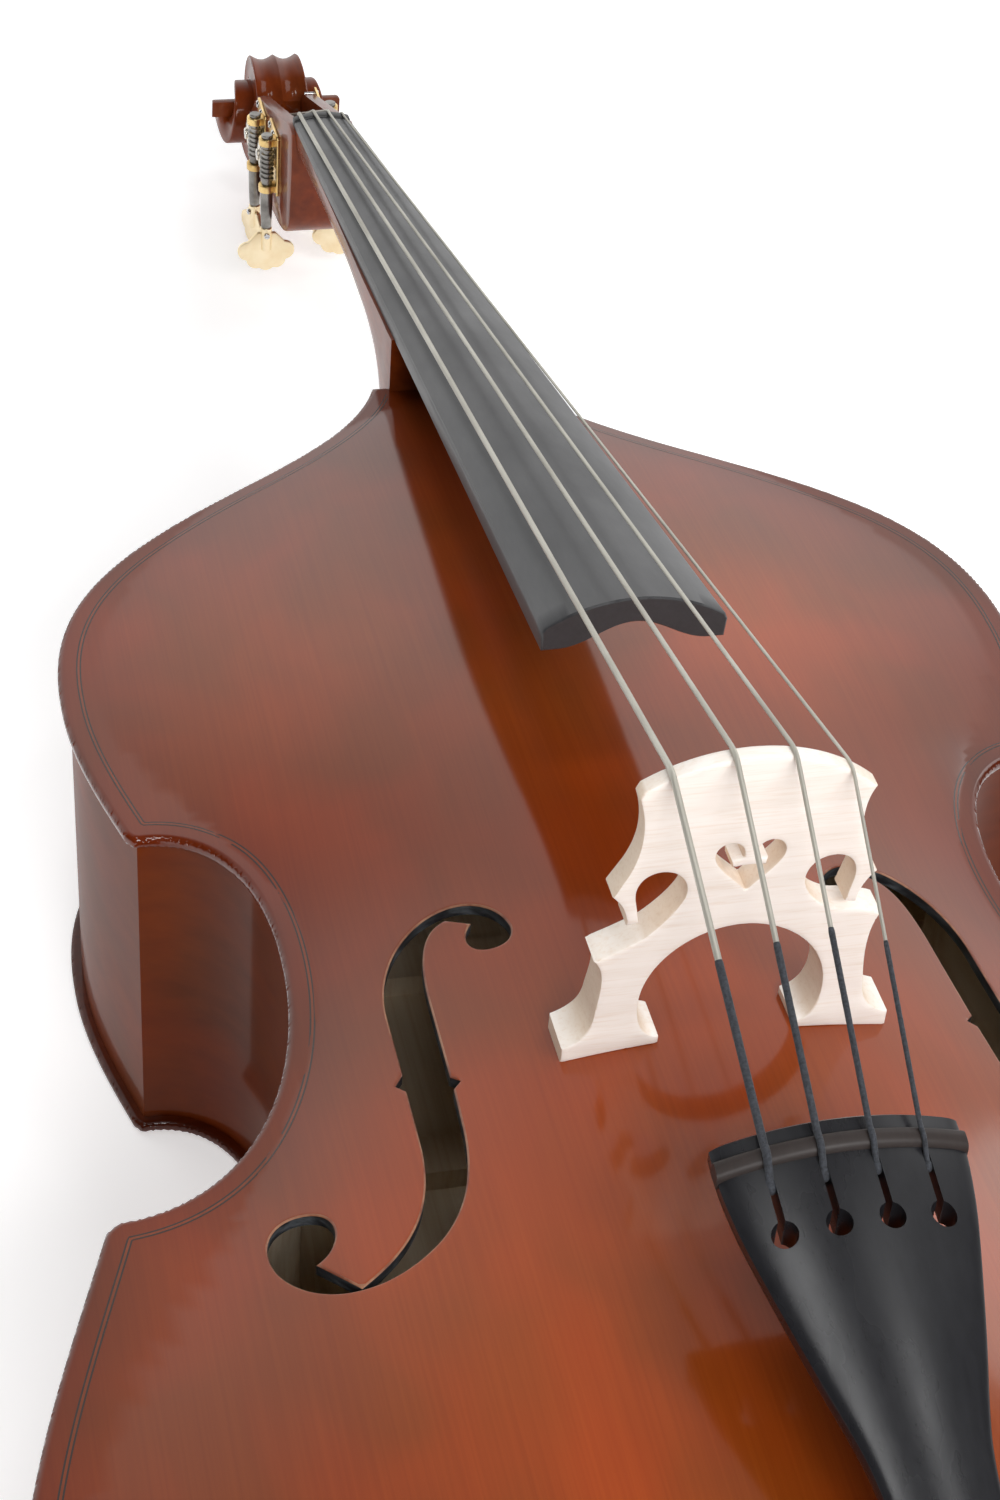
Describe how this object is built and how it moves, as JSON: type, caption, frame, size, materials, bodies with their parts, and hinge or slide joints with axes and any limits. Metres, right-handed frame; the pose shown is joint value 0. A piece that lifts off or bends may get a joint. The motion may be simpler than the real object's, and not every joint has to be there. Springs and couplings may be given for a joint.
{
  "type": "double bass",
  "caption": "Three-quarter size four-string double bass with a flat back, carved arched belly, worm-gear tuning machines and a sliding endpin.",
  "frame": {"origin": "outer face of the flat back, under the middle of the bridge", "axes": "+Y along the strings from bridge to scroll, +Z out of the belly, +X to the treble (G string) side"},
  "size_m": [0.678, 1.878, 0.4088],
  "materials": {
    "belly_varnish": "glossy red-brown varnish on spruce",
    "back_varnish": "glossy red-brown varnish on maple",
    "rib_varnish": "glossy red-brown varnish on maple",
    "neck_varnish": "glossy red-brown varnish on maple",
    "inner_spruce": "bare spruce",
    "ebony": "satin ebony",
    "tailpiece_ebony": "satin black",
    "bridge_maple": "bare maple",
    "purfling": "dark inlay",
    "machine_steel": "worn steel",
    "string_steel": "flat-wound steel",
    "tail_wire": "twisted steel cable",
    "brass": "polished brass",
    "bright_steel": "bright steel",
    "tip_rubber": "matte black rubber"
  },
  "bodies": {
    "root": {"top_plate": "belly_varnish", "top_purfling": "purfling", "back_plate": "back_varnish", "rib_upper_left": "rib_varnish", "rib_upper_right": "rib_varnish", "rib_waist_left": "rib_varnish", "rib_waist_right": "rib_varnish", "rib_lower_left": "rib_varnish", "rib_lower_right": "rib_varnish", "upper_block": "inner_spruce", "lower_block": "inner_spruce", "corner_blocks": "inner_spruce", "linings": "inner_spruce", "back_braces": "inner_spruce", "bass_bar": "inner_spruce", "sound_post": "inner_spruce", "neck": "neck_varnish", "fingerboard": "ebony", "nut": "ebony", "bridge": "bridge_maple", "saddle": "ebony", "tailpiece": "tailpiece_ebony", "tail_wire": "tail_wire", "string_e": "string_steel", "string_a": "string_steel", "string_d": "string_steel", "string_g": "string_steel", "tuner_plate_e": "brass", "tuner_plate_a": "brass", "tuner_plate_d": "brass", "tuner_plate_g": "brass", "plate_screws": "bright_steel", "endpin_socket": "ebony", "endpin_collar": "bright_steel"},
    "worm_e": {"worm_e": "machine_steel", "key_e": "brass", "key_screw_e": "bright_steel"},
    "post_e": {"string_post_e": "machine_steel", "gear_e": "brass"},
    "worm_a": {"worm_a": "machine_steel", "key_a": "brass", "key_screw_a": "bright_steel"},
    "post_a": {"string_post_a": "machine_steel", "gear_a": "brass"},
    "worm_d": {"worm_d": "machine_steel", "key_d": "brass", "key_screw_d": "bright_steel"},
    "post_d": {"string_post_d": "machine_steel", "gear_d": "brass"},
    "worm_g": {"worm_g": "machine_steel", "key_g": "brass", "key_screw_g": "bright_steel"},
    "post_g": {"string_post_g": "machine_steel", "gear_g": "brass"},
    "endpin": {"endpin_rod": "bright_steel", "endpin_tip": "tip_rubber"},
    "endpin_clamp": {"endpin_screw": "bright_steel"}
  },
  "joints": [
    {"name": "key_turn_e", "type": "hinge", "parent": "root", "child": "worm_e", "pos_m": [-0.033, 1.105, 0.113], "axis": [0, 0, 1], "continuous": true},
    {"name": "post_turn_e", "type": "hinge", "parent": "root", "child": "post_e", "pos_m": [-0.02, 1.122, 0.113], "axis": [1, 0, 0], "continuous": true},
    {"name": "key_turn_a", "type": "hinge", "parent": "root", "child": "worm_a", "pos_m": [-0.033, 1.166, 0.101], "axis": [0, 0, 1], "continuous": true},
    {"name": "post_turn_a", "type": "hinge", "parent": "root", "child": "post_a", "pos_m": [-0.02, 1.183, 0.101], "axis": [1, 0, 0], "continuous": true},
    {"name": "key_turn_d", "type": "hinge", "parent": "root", "child": "worm_d", "pos_m": [0.033, 1.195, 0.094], "axis": [0, 0, 1], "continuous": true},
    {"name": "post_turn_d", "type": "hinge", "parent": "root", "child": "post_d", "pos_m": [0.02, 1.212, 0.094], "axis": [1, 0, 0], "continuous": true},
    {"name": "key_turn_g", "type": "hinge", "parent": "root", "child": "worm_g", "pos_m": [0.033, 1.135, 0.107], "axis": [0, 0, 1], "continuous": true},
    {"name": "post_turn_g", "type": "hinge", "parent": "root", "child": "post_g", "pos_m": [0.02, 1.152, 0.107], "axis": [1, 0, 0], "continuous": true},
    {"name": "endpin_slide", "type": "slide", "parent": "root", "child": "endpin", "axis": [0, -1, 0], "range_m": [0, 0.28]},
    {"name": "clamp_turn", "type": "hinge", "parent": "root", "child": "endpin_clamp", "pos_m": [0, -0.522, 0.12], "axis": [0, 0, 1], "range_deg": [0, 360]}
  ],
  "couplings": [
    {"joint": "post_turn_e", "follows": "key_turn_e", "ratio": -0.041667},
    {"joint": "post_turn_a", "follows": "key_turn_a", "ratio": -0.041667},
    {"joint": "post_turn_d", "follows": "key_turn_d", "ratio": 0.041667},
    {"joint": "post_turn_g", "follows": "key_turn_g", "ratio": 0.041667}
  ]
}
